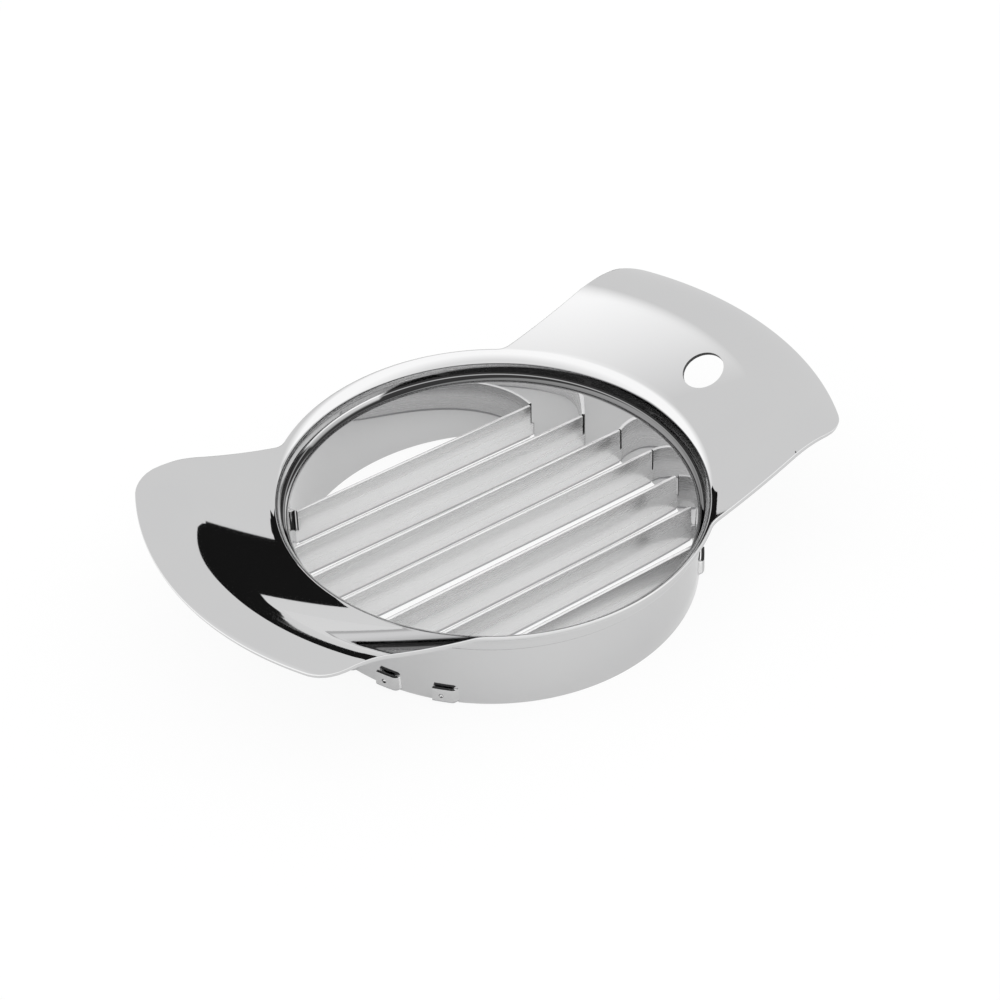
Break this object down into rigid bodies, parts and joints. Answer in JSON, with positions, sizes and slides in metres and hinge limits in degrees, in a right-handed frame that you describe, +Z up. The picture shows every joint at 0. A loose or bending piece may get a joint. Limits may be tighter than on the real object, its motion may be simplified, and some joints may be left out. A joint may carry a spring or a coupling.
{
  "type": "hand fruit slicer",
  "caption": "Polished steel hand slicer: a round collar crossed by parallel blades, pushed down over fruit by dished wing handles with a hanging hole.",
  "frame": {"origin": "centre of the collar's lower edge, on the plane that the slicer rests on", "axes": "+X along the blades towards the wing with the hanging hole, +Y across the blades, +Z up"},
  "size_m": [0.1728, 0.1098, 0.0349],
  "materials": {
    "polished_steel": "mirror-polished stainless steel",
    "blade_steel": "bright rolled stainless strip with a ground lower edge"
  },
  "bodies": {
    "root": {"frame": "polished_steel", "blade_1": "blade_steel", "blade_2": "blade_steel", "blade_3": "blade_steel", "blade_4": "blade_steel", "blade_5": "blade_steel", "blade_6": "blade_steel", "blade_7": "blade_steel"}
  },
  "joints": []
}
